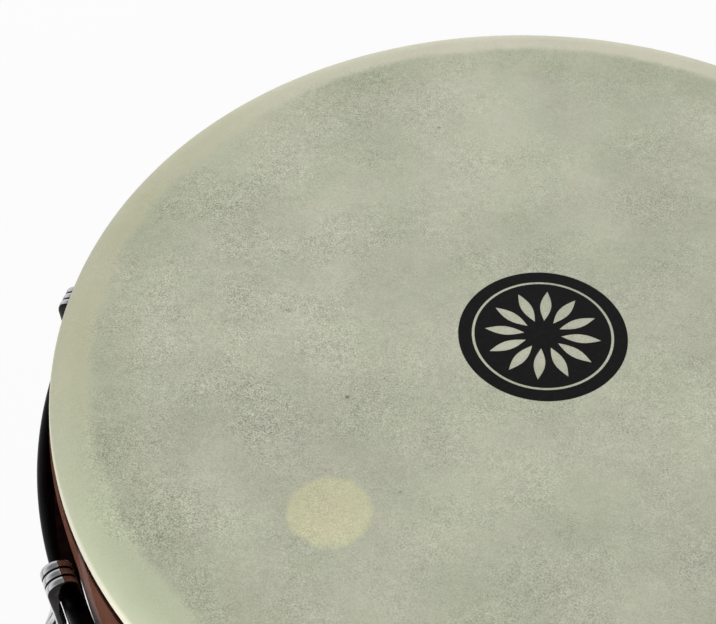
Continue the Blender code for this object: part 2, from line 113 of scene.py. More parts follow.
def shell_outside(depth):
    """Outside radius of the turned shell."""
    collar_radius = EDGE_RADIUS + COLLAR_SLOPE * (min(depth, COLLAR_END) - CROWN_RADIUS)
    if depth <= COLLAR_END:
        return collar_radius
    if depth <= BELLY:
        return stave_curve(depth, COLLAR_END, collar_radius, COLLAR_SLOPE, BELLY, BELLY_RADIUS, 0.0)
    return stave_curve(depth, BELLY, BELLY_RADIUS, 0.0, SHELL_BOTTOM, FOOT_RADIUS, FOOT_SLOPE)


def crown_points(outer_radius, face_depth):
    """Points (radius, depth) down a rounded upper edge that follows the head's crown."""
    rounding = CROWN_RADIUS - face_depth
    points = []
    for k in range(CROWN_STEPS + 1):
        angle = math.pi / 2 * k / CROWN_STEPS
        radius = outer_radius - rounding * (1 - math.sin(angle))
        points.append((radius, CROWN_RADIUS - rounding * math.cos(angle)))
    return points


def finished_mesh(bm, name, sharp_angle=35):
    """The mesh, shaded smooth but for the edges that turn by more than an angle in degrees."""
    bmesh.ops.recalc_face_normals(bm, faces=bm.faces)
    mesh = bpy.data.meshes.new(name)
    bm.to_mesh(mesh)
    bm.free()
    mesh.shade_smooth()
    mesh.set_sharp_from_angle(angle=math.radians(sharp_angle))
    return mesh


def turn_in_lathe(name, profile):
    """A mesh turned from a closed profile of (radius, depth) points. Its faces come in rows round it."""
    bm = bmesh.new()
    angles = [2 * math.pi * k / ROUND_STEPS for k in range(ROUND_STEPS)]
    rings = []
    for radius, depth in profile:
        z = FACE - depth
        if radius == 0:
            rings.append([bm.verts.new((0, 0, z))])
        else:
            rings.append([bm.verts.new((radius * math.cos(a), radius * math.sin(a), z)) for a in angles])
    for ring, following in zip(rings, rings[1:] + rings[:1]):
        if len(ring) == 1 and len(following) == 1:
            continue
        for k in range(ROUND_STEPS):
            j = (k + 1) % ROUND_STEPS
            if len(ring) == 1:
                bm.faces.new((ring[0], following[k], following[j]))
            elif len(following) == 1:
                bm.faces.new((ring[k], following[0], ring[j]))
            else:
                bm.faces.new((ring[k], following[k], following[j], ring[j]))
    return finished_mesh(bm, name)


def fit_piece(name, mesh, finish, slot, body, *stands_for, azimuth=0.0, place=None):
    """Puts a piece on the drum: its finish, the body that it moves with, the solids that it stands for."""
    piece = bpy.data.objects.new(name, mesh)
    if not mesh.materials:
        mesh.materials.append(finish)
    bpy.context.scene.collection.objects.link(piece)
    if place is None:
        piece.rotation_euler.z = azimuth
    else:
        piece.matrix_world = place
    if body:
        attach(piece, body)
    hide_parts(*stands_for)
    return piece


def new_finish(name, colour, **settings):
    """A material and its main shader. Settings are the shader's sockets, written with _ for a space."""
    finish = bpy.data.materials.new(name)
    finish.use_nodes = True
    shader = finish.node_tree.nodes["Principled BSDF"]
    shader.inputs["Base Color"].default_value = (*colour, 1.0)
    for setting, value in settings.items():
        socket = setting.replace("_", " ").title().replace("Ior", "IOR")
        shader.inputs[socket].default_value = value
    return finish, shader


def node(finish, kind, sockets=None, **settings):
    """Adds a node to a finish. Each socket is given a value or the output that feeds it."""
    made = finish.node_tree.nodes.new("ShaderNode" + kind)
    for name, value in settings.items():
        setattr(made, name, value)
    for socket, value in (sockets or {}).items():
        if isinstance(value, bpy.types.NodeSocket):
            finish.node_tree.links.new(value, made.inputs[socket])
        else:
            made.inputs[socket].default_value = value
    return made


def feed(finish, output, shader, socket):
    """Links an output to one of the shader's sockets."""
    finish.node_tree.links.new(output, shader.inputs[socket])


def maths(finish, operation, *values):
    """The output of a Math node."""
    return node(finish, "Math", dict(enumerate(values)), operation=operation).outputs[0]


def noise(finish, where, scale, detail=2.0, roughness=0.5):
    """The output of a Noise Texture, whose scale is in features to the metre."""
    sockets = {"Vector": where, "Scale": scale, "Detail": detail, "Roughness": roughness}
    return node(finish, "TexNoise", sockets).outputs[0]


def ramp(finish, value, low, high, from_value=0.0, to_value=1.0):
    """Turns a value that runs from low to high into one that runs smoothly between two others."""
    sockets = {"Value": value, "From Min": low, "From Max": high, "To Min": from_value, "To Max": to_value}
    return node(finish, "MapRange", sockets, interpolation_type="SMOOTHSTEP").outputs[0]


def blend_colours(finish, share, first, second, blend_type="MIX"):
    """The output of a Mix node set to colours. First and second are colours or outputs."""
    sockets = {0: share}
    for socket, colour in ((6, first), (7, second)):
        sockets[socket] = colour if isinstance(colour, bpy.types.NodeSocket) else (*colour, 1.0)
    return node(finish, "Mix", sockets, data_type="RGBA", blend_type=blend_type).outputs[2]


def bump(finish, shader, height, distance):
    """Gives the shader a fine relief. Distance is the relief's height in metres."""
    sockets = {"Height": height, "Distance": distance, "Strength": 1.0}
    feed(finish, node(finish, "Bump", sockets).outputs[0], shader, "Normal")


def stave_finish(name, dark, middle, light, **settings):
    """Wood whose grain runs along each stave. Every stave has its own tone and its own grain."""
    finish, shader = new_finish(name, middle, coat_roughness=0.06, **settings)
    where = node(finish, "TexCoord").outputs["Object"]
    x, y, z = node(finish, "SeparateXYZ", {0: where}).outputs
    azimuth = maths(finish, "ARCTAN2", y, x)
    turn = maths(finish, "DIVIDE", azimuth, 2 * math.pi / STAVES)
    stave = maths(finish, "FLOOR", turn)
    across = maths(finish, "SUBTRACT", turn, stave)
    tone = node(finish, "TexWhiteNoise", {"W": stave}, noise_dimensions="1D").outputs["Value"]

    # Figure and pores are noise drawn out along the staves, which each have a place of their own in it
    grain_x = maths(finish, "MULTIPLY", turn, 2 * math.pi * EDGE_RADIUS / STAVES)
    grain_y = maths(finish, "MULTIPLY", tone, 3.0)
    figure_z = maths(finish, "MULTIPLY", z, 0.05)
    figure_at = node(finish, "CombineXYZ", {0: grain_x, 1: grain_y, 2: figure_z}).outputs[0]
    figure = noise(finish, figure_at, 130.0, 3.0, 0.6)
    pores_z = maths(finish, "MULTIPLY", z, 0.035)
    pores_at = node(finish, "CombineXYZ", {0: grain_x, 1: grain_y, 2: pores_z}).outputs[0]
    pores = noise(finish, pores_at, 1400.0, 1.0)
    colour = blend_colours(finish, ramp(finish, figure, 0.3, 0.7), dark, middle)
    colour = blend_colours(finish, maths(finish, "MULTIPLY", tone, 0.7), colour, light)
    pore_share = ramp(finish, pores, 0.36, 0.46, 0.55, 0.0)
    pore_colour = tuple(0.35 * value for value in dark)
    colour = blend_colours(finish, pore_share, colour, pore_colour)

    # The glued seams are thin dark lines, a little sunk
    from_middle = maths(finish, "ABSOLUTE", maths(finish, "SUBTRACT", across, 0.5))
    seam_share = ramp(finish, from_middle, 0.489, 0.497, 0.0, 0.75)
    seam_colour = tuple(0.25 * value for value in dark)
    colour = blend_colours(finish, seam_share, colour, seam_colour)
    feed(finish, colour, shader, "Base Color")
    relief = maths(finish, "SUBTRACT", pores, seam_share)
    bump(finish, shader, relief, 0.00004)
    return finish


def shell_mesh():
    """The wall of the barrel, lacquered outside, rubbed on the collar and bare inside."""
    inner_top = SHELL_TOP + BEARING_CHAMFER
    depths = [RUBBED_END / RUBBED_ROWS * k for k in range(1, RUBBED_ROWS + 1)]
    depths += [COLLAR_END + (SHELL_BOTTOM - COLLAR_END) * k / BODY_ROWS for k in range(BODY_ROWS + 1)]
    profile = crown_points(EDGE_RADIUS, SHELL_TOP)
    profile += [(shell_outside(depth), depth) for depth in depths]
    outside_rows = len(profile) - 1
    profile += [(shell_outside(depth) - WALL, depth) for depth in reversed(depths)]
    profile.append((shell_outside(inner_top) - WALL, inner_top))
    profile.append((shell_outside(inner_top) - WALL + BEARING_CHAMFER, SHELL_TOP))
    mesh = turn_in_lathe("shell_staves", profile)
    for finish in (lacquered_wood, bare_wood, rubbed_wood):
        mesh.materials.append(finish)
    for k, polygon in enumerate(mesh.polygons):
        row = k // ROUND_STEPS
        if row >= outside_rows:
            polygon.material_index = 1
        elif row < CROWN_STEPS + RUBBED_ROWS:
            polygon.material_index = 2
    return mesh


red_browns = (0.018, 0.0035, 0.0022), (0.085, 0.019, 0.011), (0.13, 0.032, 0.016)
oak_browns = (0.16, 0.09, 0.045), (0.36, 0.23, 0.12), (0.45, 0.3, 0.17)
lacquered_wood = stave_finish("red_brown_lacquer", *red_browns, roughness=0.35, coat_weight=1.0)
rubbed_wood = stave_finish("rubbed_collar", *red_browns, roughness=0.35, specular_ior_level=0.0)
bare_wood = stave_finish("sealed_bare_wood", *oak_browns, roughness=0.6)
fit_piece("shell_staves", shell_mesh(), lacquered_wood, "lacquered_wood", "drum_body", "shell")


# Foot: a band of rolled steel sheet is driven up over the ends of the staves and pinned, and a moulded
# rubber ring is pressed on under it. The drum stands on the ring.
RUBBER_HEIGHT = 0.006
RUBBER_LIP = 0.008
RUBBER_THICKNESS = 0.004
RUBBER_OVERLAP = 0.001  # how far the ring comes in past the staves
LIP_ROUNDING = 0.001
LIP_BACK = 0.0006  # from the lip's top down to where its back lies on the shell
FOOT_ROUNDING = 0.002
GROOVES = 3
FIRST_GROOVE = 0.0035  # from the lip's top
GROOVE_PITCH = 0.0028
GROOVE_HALF_WIDTH = 0.0007
GROOVE_DEPTH = 0.0006
BAND_GAP = 0.003
BAND_HEIGHT = 0.03
BAND_THICKNESS = 0.0015


def rounded_corner(centre, radius, start, end, steps=5):
    """Points (radius, depth) on part of a circle. Angles are in degrees, 0 outwards and 90 down."""
    points = []
    for k in range(steps + 1):
        angle = math.radians(start + (end - start) * k / steps)
        points.append((centre[0] + radius * math.cos(angle), centre[1] + radius * math.sin(angle)))
    return points


def foot_ring_mesh():
    """The ring under the staves' ends, with a tapering lip that has grooves moulded round it."""
    rest = FACE - RUBBER_HEIGHT
    lip = rest - RUBBER_LIP
    inner = shell_outside(SHELL_BOTTOM) - WALL - RUBBER_OVERLAP
    lip_back = shell_outside(lip) + FIT
    lip_front = lip_back + 2 * LIP_ROUNDING
    foot_back = shell_outside(SHELL_BOTTOM) + FIT
    outer = foot_back + RUBBER_THICKNESS
    profile = [(inner, rest), (foot_back, rest), (lip_back, lip + LIP_BACK)]
    profile += rounded_corner((lip_back + LIP_ROUNDING, lip + LIP_ROUNDING), LIP_ROUNDING, -150, -30)
    for k in range(GROOVES):
        groove = lip + FIRST_GROOVE + GROOVE_PITCH * k
        wall = lip_front + (outer - lip_front) * (groove - lip) / (rest - lip)
        profile.append((wall, groove - GROOVE_HALF_WIDTH))
        profile.append((wall - GROOVE_DEPTH, groove))
        profile.append((wall, groove + GROOVE_HALF_WIDTH))
    profile.append((outer, rest))
    profile += rounded_corner((outer - FOOT_ROUNDING, FACE - FOOT_ROUNDING), FOOT_ROUNDING, 0, 90)
    profile += rounded_corner((inner + LIP_ROUNDING, FACE - LIP_ROUNDING), LIP_ROUNDING, 90, 180)
    return turn_in_lathe("foot_rubber", profile)


def foot_band_mesh():
    """The band, whose two edges are rolled into beads."""
    low = FACE - RUBBER_HEIGHT - RUBBER_LIP - BAND_GAP
    high = low - BAND_HEIGHT
    bead = BAND_THICKNESS * 0.75
    field = BAND_THICKNESS * 0.8
    rows = 8
    depths = [high + (low - high) * k / rows for k in range(1, rows)]
    profile = [(shell_outside(high) + FIT, high + bead)]
    profile += rounded_corner((shell_outside(high) + FIT + bead, high + bead), bead, 180, 380, 10)
    profile += [(shell_outside(depth) + FIT + field, depth) for depth in depths]
    profile += rounded_corner((shell_outside(low) + FIT + bead, low - bead), bead, -20, 180, 10)
    profile += [(shell_outside(depth) + FIT, depth) for depth in reversed(depths)]
    return turn_in_lathe("foot_band", profile)


def rubber_finish():
    """Black rubber with a fine moulded grain, greyed in patches by dust."""
    finish, shader = new_finish("black_rubber", (0.018, 0.018, 0.018), roughness=0.75)
    where = node(finish, "TexCoord").outputs["Object"]
    dust = noise(finish, where, 60.0, 4.0)
    dusty = ramp(finish, dust, 0.45, 0.75)
    colour = blend_colours(finish, dusty, (0.016, 0.016, 0.016), (0.045, 0.043, 0.04))
    feed(finish, colour, shader, "Base Color")
    feed(finish, ramp(finish, dust, 0.3, 0.7, 0.65, 0.85), shader, "Roughness")
    bump(finish, shader, noise(finish, where, 2500.0, 2.0), 0.00006)
    return finish


def chrome_finish(name="polished_chrome", colour=(0.62, 0.62, 0.64), smooth=0.05, worn=0.16):
    """Plated metal with the faint haze that handling leaves, from a smooth to a worn roughness."""
    finish, shader = new_finish(name, colour, metallic=1.0, roughness=smooth)
    where = node(finish, "TexCoord").outputs["Object"]
    haze = noise(finish, where, 90.0, 5.0, 0.6)
    dull_colour = tuple(0.86 * value for value in colour)
    shade = blend_colours(finish, ramp(finish, haze, 0.35, 0.75), colour, dull_colour)
    feed(finish, shade, shader, "Base Color")
    feed(finish, ramp(finish, haze, 0.35, 0.8, smooth, worn), shader, "Roughness")
    bump(finish, shader, noise(finish, where, 400.0, 3.0), 0.00001)
    return finish


black_rubber = rubber_finish()
polished_chrome = chrome_finish()
fit_piece("foot_rubber", foot_ring_mesh(), black_rubber, "foot_rubber", "drum_body", "foot_ring")
fit_piece("foot_steel_band", foot_band_mesh(), polished_chrome, "chrome_fittings", "drum_body", "foot_band")


# Lug plates: each is a steel plate pressed to the curve of the shell, with a forged eye welded on low down
# for the tuning hook, all chromed. Two bolts hold it, and their nuts are welded to a zinc-plated bar inside
# the shell.
LUG_DEPTH = 0.122  # the middle of the eye
PLATE_WIDTH = 0.024
PLATE_THICKNESS = 0.0025
PLATE_TOP = 0.046  # up from the middle of the eye
PLATE_BOTTOM = 0.0055  # down from it
PLATE_CORNER = 0.005
PLATE_FIELD = 0.86  # share of the plate's thickness inside its raised border
EYE_RADIUS = 0.0084
EYE_HEIGHT = 0.012
EYE_HOLE = 0.0049
WEB_WIDTH = 0.011
WEB_INSET = 0.0012  # how far the web reaches into the eye's wall
BOLT_RADIUS = 0.003
BOLT_DEPTHS = (0.084, 0.104)
BOLT_HEAD_RADIUS = 0.0055
BOLT_HEAD_HEIGHT = 0.003
BOLT_HEAD_SIDE = 0.0009  # height of the head's straight side, under its dome
BOLT_END_RADIUS = 0.1288  # from the drum's axis to the bolts' ends
SOCKET_MOUTH = 0.0032
SOCKET_RADIUS = 0.0026
SOCKET_FLOOR = 0.0011  # out from the plate
DRILL_MARK = 0.0008  # radius of the mark in the socket's floor, and how far out from the plate it ends

# The nuts' joints give the lugs' places round the drum, and the line of a rod in the plane of its lug
lug_joints = [joint for joint in frame["joints"] if joint["type"] == "hinge"]
lug_azimuths = [math.atan2(joint["pos_m"][1], joint["pos_m"][0]) for joint in lug_joints]
nut_place = Vector(lug_joints[0]["pos_m"])
rod_axis = Vector(lug_joints[0]["axis"])
nut_radius_out = math.hypot(nut_place.x, nut_place.y)
ROD_TILT = math.asin(math.hypot(rod_axis.x, rod_axis.y))
EYE_TO_NUT = (LUG_DEPTH - (FACE - nut_place.z)) / -math.cos(ROD_TILT)
EYE_OUT = nut_radius_out - EYE_TO_NUT * math.sin(ROD_TILT)


def rod_point(along, outward=0.0):
    """Radius and depth of the point this far down the rod from the eye, and this far off its line."""
    radius = EYE_OUT + along * math.sin(ROD_TILT) + outward * math.cos(ROD_TILT)
    depth = LUG_DEPTH + along * math.cos(ROD_TILT) - outward * math.sin(ROD_TILT)
    return radius, depth


def on_rod(along, across, outward):
    """The point (x, y, z) at azimuth 0 that lies this far down the rod, sideways and outwards."""
    radius, depth = rod_point(along, outward)
    return radius, across, FACE - depth


def loft(bm, rings, capped=True):
    """Joins rings that have as many points each, and caps the two ends or joins the last to the first."""
    loops = [[bm.verts.new(point) for point in ring] for ring in rings]
    for low, high in zip(loops, loops[1:]):
        for k in range(len(low)):
            j = (k + 1) % len(low)
            bm.faces.new((low[k], low[j], high[j], high[k]))
    if capped:
        bm.faces.new(loops[0][::-1])
        bm.faces.new(loops[-1])
    else:
        for k in range(len(loops[0])):
            j = (k + 1) % len(loops[0])
            bm.faces.new((loops[-1][k], loops[-1][j], loops[0][j], loops[0][k]))


def plate_outline_point(u, v):
    """The point of a plate at (u, v), each from -1 to 1, with the plate's corners rounded off."""
    middle = (PLATE_TOP - PLATE_BOTTOM) / 2
    ring = max(abs(u), abs(v))
    if ring == 0:
        return 0.0, middle
    half_width = PLATE_WIDTH / 2
    half_height = (PLATE_TOP + PLATE_BOTTOM) / 2
    x = abs(u) / ring * half_width
    y = abs(v) / ring * half_height
    corner_x = half_width - PLATE_CORNER
    corner_y = half_height - PLATE_CORNER
    if x > corner_x and y > corner_y:
        away = math.hypot(x - corner_x, y - corner_y)
        x = corner_x + (x - corner_x) / away * PLATE_CORNER
        y = corner_y + (y - corner_y) / away * PLATE_CORNER
    return math.copysign(x, u) * ring, middle + math.copysign(y, v) * ring


def on_shell(across, up, out):
    """The point at azimuth 0 that lies on the shell, sideways, up and out from it."""
    depth = LUG_DEPTH - up
    radius = shell_outside(depth) + FIT + out
    angle = across / shell_outside(LUG_DEPTH)
    return radius * math.cos(angle), radius * math.sin(angle), FACE - depth


def add_plate(bm):
    """The plate, with a softened edge and a border that stands a little proud of its field."""
    # The share of the thickness on each ring of the border, from the edge inwards
    border = {1.0: 0.35, 0.985: 0.7, 0.95: 0.95, 0.9: 1.0, 0.82: 0.9}
    across = (*border, 0.7, 0.45, 0.2)
    stops = [-value for value in across] + [0.0] + list(reversed(across))

    def height(u, v):
        return PLATE_THICKNESS * border.get(max(abs(u), abs(v)), PLATE_FIELD)

    sheets = []
    for front in (True, False):
        sheet = []
        for v in stops:
            row = []
            for u in stops:
                x, y = plate_outline_point(u, v)
                row.append(bm.verts.new(on_shell(x, y, height(u, v) if front else 0.0)))
            sheet.append(row)
        sheets.append(sheet)
    count = len(stops)
    for sheet in sheets:
        for i in range(count - 1):
            for j in range(count - 1):
                bm.faces.new((sheet[i][j], sheet[i + 1][j], sheet[i + 1][j + 1], sheet[i][j + 1]))
    front, back = sheets
    for k in range(count - 1):
        bm.faces.new((front[0][k], front[0][k + 1], back[0][k + 1], back[0][k]))
        bm.faces.new((front[-1][k], front[-1][k + 1], back[-1][k + 1], back[-1][k]))
        bm.faces.new((front[k][0], front[k + 1][0], back[k + 1][0], back[k][0]))
        bm.faces.new((front[k][-1], front[k + 1][-1], back[k + 1][-1], back[k][-1]))


def add_eye(bm):
    """The eye is a short tube round the rod with softened ends, both the same."""
    half = EYE_HEIGHT / 2
    soften = 0.0009
    corner = 0.3 * soften
    section = [(EYE_HOLE, -half + soften / 2), (EYE_HOLE + soften / 2, -half)]
    section += [(EYE_RADIUS - soften, -half), (EYE_RADIUS - corner, -half + corner)]
    section.append((EYE_RADIUS, -half + soften))
    section += [(radius, -along) for radius, along in reversed(section)]
    steps = 40
    angles = [2 * math.pi * k / steps for k in range(steps)]
    rings = []
    for radius, along in section:
        rings.append([on_rod(along, radius * math.sin(a), radius * math.cos(a)) for a in angles])
    loft(bm, rings, capped=False)


def add_web(bm):
    """The neck of metal between plate and eye, waisted where it leaves the plate."""
    steps, corners = 8, 24
    squareness = 0.4  # 1 is an ellipse, and smaller is squarer
    flare_height = 0.0012
    waist_half_width = WEB_WIDTH / 2 - 0.0015
    waist_half_height = EYE_HEIGHT / 2 - 0.0022
    rings = []
    for k in range(steps + 1):
        share = k / steps
        flare = flare_height * (2 * share - 1) ** 2
        ring = []
        for turn in range(corners):
            cosine, sine = (wave(2 * math.pi * turn / corners) for wave in (math.cos, math.sin))
            across = (waist_half_width + flare) * math.copysign(abs(cosine) ** squareness, cosine)
            up = (waist_half_height + flare) * math.copysign(abs(sine) ** squareness, sine)
            start = Vector(on_shell(across, up, PLATE_THICKNESS / 2))
            end = Vector(on_rod(-up, across, -EYE_HOLE - WEB_INSET))
            ring.append(start.lerp(end, share))
        rings.append(ring)
    loft(bm, rings)


def add_bolt(bm, depth):
    """A bolt with a low domed head, a hexagon socket, and its shank through the shell's wall."""
    front = shell_outside(depth) + FIT + PLATE_THICKNESS * PLATE_FIELD
    chamfer, sunk, socket_edge = 0.0006, 0.0005, 0.0002
    back = front - sunk
    top = front + BOLT_HEAD_HEIGHT
    dome_steps, steps = 7, 48
    # Each stop is a distance from the drum's axis, a radius, and whether the section there is a hexagon
    stops = [(BOLT_END_RADIUS, BOLT_RADIUS - chamfer, False)]
    stops += [(BOLT_END_RADIUS + chamfer, BOLT_RADIUS, False)]
    stops += [(back, BOLT_RADIUS, False), (back, BOLT_HEAD_RADIUS - chamfer / 2, False)]
    stops += [(front, BOLT_HEAD_RADIUS, False), (front + BOLT_HEAD_SIDE, BOLT_HEAD_RADIUS, False)]
    for k in range(1, dome_steps):
        angle = math.pi / 2 * k / dome_steps
        rise = BOLT_HEAD_SIDE + (BOLT_HEAD_HEIGHT - BOLT_HEAD_SIDE) * math.sin(angle)
        radius = SOCKET_MOUTH + (BOLT_HEAD_RADIUS - SOCKET_MOUTH) * math.cos(angle)
        stops.append((front + rise, radius, False))
    stops += [(top, SOCKET_MOUTH, False), (top - socket_edge, SOCKET_RADIUS, True)]
    stops += [(front + SOCKET_FLOOR, SOCKET_RADIUS, True), (front + DRILL_MARK, DRILL_MARK, True)]
    rings = []
    for out, radius, hexagon in stops:
        ring = []
        for k in range(steps):
            angle = 2 * math.pi * k / steps
            reach = radius
            if hexagon:
                side = (angle + math.pi / 6) % (math.pi / 3) - math.pi / 6
                reach = radius * math.cos(math.pi / 6) / math.cos(side)
            ring.append((out, reach * math.cos(angle), FACE - depth + reach * math.sin(angle)))
        rings.append(ring)
    loft(bm, rings)


def lug_mesh():
    bm = bmesh.new()
    add_plate(bm)
    add_web(bm)
    add_eye(bm)
    for depth in BOLT_DEPTHS:
        add_bolt(bm, depth)
    return finished_mesh(bm, "lug_plate", 40)


zinc_plate = chrome_finish("zinc_plate", (0.6, 0.6, 0.59), 0.3, 0.5)
lug = lug_mesh()
for k, azimuth in enumerate(lug_azimuths, start=1):
    name, node_name = f"lug_{k:02d}", f"lug_plate_{k:02d}"
    fit_piece(name, lug, polished_chrome, "chrome_fittings", "drum_body", node_name, azimuth=azimuth)
    bar = frame["nodes"][f"backing_plate_{k:02d}"]
    bar.data.materials.clear()
    bar.data.materials.append(zinc_plate)


# Head: a polyester film is formed hot over a mould into a flat face, a rounded crown and a collar. A mat of
# short pale fibres is laminated on its face and crown, and ends there in a cut lip. The collar's lower edge
# is gripped in an aluminium channel, the flesh hoop, coloured very dark red-brown as painted shade.
HEAD_RADIUS = 0.1492
FIBRE_THICKNESS = 0.0005
FILM_THICKNESS = 0.0005
FILM_RADIUS = HEAD_RADIUS - FIBRE_THICKNESS - FIT
FILM_GAP = 0.0015  # between the film's collar and the shell, at the flesh hoop
SHOULDER = 0.017  # where the film has reached its collar's radius
FLESH_HOOP_END = 0.0611
FLESH_HOOP_HEIGHT = 0.009
COLLAR_RADIUS = shell_outside(FLESH_HOOP_END) + FILM_GAP + FILM_THICKNESS
CLAW_ROOM = 0.0045  # for the hooks' claws, between the film's collar and the rim
RIM_INNER = COLLAR_RADIUS + CLAW_ROOM
RIM_THICKNESS = 0.003
RIM_OUTER = RIM_INNER + RIM_THICKNESS
FILM_RINGS = 6  # rings of faces across the flat of the film
FIBRE_RINGS = 12  # and across the flat of the fibre mat
SHOULDER_ROWS = 12
COLLAR_ROWS = 20


def flat_rings(radius, depth, count):
    """Points (radius, depth) from the axis out to where a crown begins."""
    return [(radius * k / count, depth) for k in range(count)]


def film_mesh():
    """The film: flat, crown, a shoulder that widens, and the collar down to the flesh hoop."""
    face = FIBRE_THICKNESS + FIT
    under = face + FILM_THICKNESS
    inner_radius = FILM_RADIUS - FILM_THICKNESS
    end = FLESH_HOOP_END - FIT
    outer = []
    for k in range(1, SHOULDER_ROWS + 1):
        share = k / SHOULDER_ROWS
        smooth = share * share * (3 - 2 * share)
        radius = FILM_RADIUS + (COLLAR_RADIUS - FILM_RADIUS) * smooth
        outer.append((radius, CROWN_RADIUS + (SHOULDER - CROWN_RADIUS) * share))
    for k in range(1, COLLAR_ROWS + 1):
        outer.append((COLLAR_RADIUS, SHOULDER + (end - SHOULDER) * k / COLLAR_ROWS))
    profile = flat_rings(FILM_RADIUS - CROWN_RADIUS, face, FILM_RINGS) + crown_points(FILM_RADIUS, face)
    profile += outer
    profile += [(radius - FILM_THICKNESS, depth) for radius, depth in reversed(outer)]
    profile += reversed(crown_points(inner_radius, under))
    profile += reversed(flat_rings(inner_radius - CROWN_RADIUS, under, FILM_RINGS))
    return turn_in_lathe("head_film", profile)


def fibre_mesh():
    """The fibre mat: flat, crown and the rounded edge of its lip."""
    lip = FIBRE_THICKNESS / 2
    flat_radius = HEAD_RADIUS - CROWN_RADIUS
    profile = flat_rings(flat_radius, 0.0, FIBRE_RINGS) + crown_points(HEAD_RADIUS, 0.0)
    profile += rounded_corner((HEAD_RADIUS - lip, CROWN_RADIUS), lip, 20, 160, 4)
    profile += reversed(crown_points(HEAD_RADIUS - FIBRE_THICKNESS, FIBRE_THICKNESS))
    profile += reversed(flat_rings(flat_radius, FIBRE_THICKNESS, FIBRE_RINGS))
    return turn_in_lathe("head_fibre_layer", profile)


def blend_values(finish, share, first, second):
    """The output of a Mix node set to plain values."""
    return node(finish, "Mix", {0: share, 2: first, 3: second}).outputs[0]


def film_finish():
    """Film hazed red-brown, over red-brown wood, with a dark line where the fibre mat's lip shades it."""
    finish, shader = new_finish("clear_film", (0.1, 0.045, 0.03), roughness=0.3, specular_ior_level=0.0)
    where = node(finish, "TexCoord").outputs["Object"]
    z = node(finish, "SeparateXYZ", {0: where}).outputs[2]
    depth = maths(finish, "SUBTRACT", FACE, z)
    haze = ramp(finish, noise(finish, where, 160.0, 3.0), 0.3, 0.7)
    rosy = blend_colours(finish, haze, (0.11, 0.046, 0.031), (0.135, 0.059, 0.041))
    below_lip = ramp(finish, depth, SHOULDER - 0.0044, SHOULDER - 0.0034)
    feed(finish, blend_colours(finish, below_lip, (0.014, 0.005, 0.004), rosy), shader, "Base Color")
    feed(finish, blend_values(finish, haze, 0.74, 0.82), shader, "Alpha")
    return finish


def grey(finish, value):
    """A colour output with this value in all three channels."""
    return node(finish, "CombineColor", {0: value, 1: value, 2: value}).outputs[0]


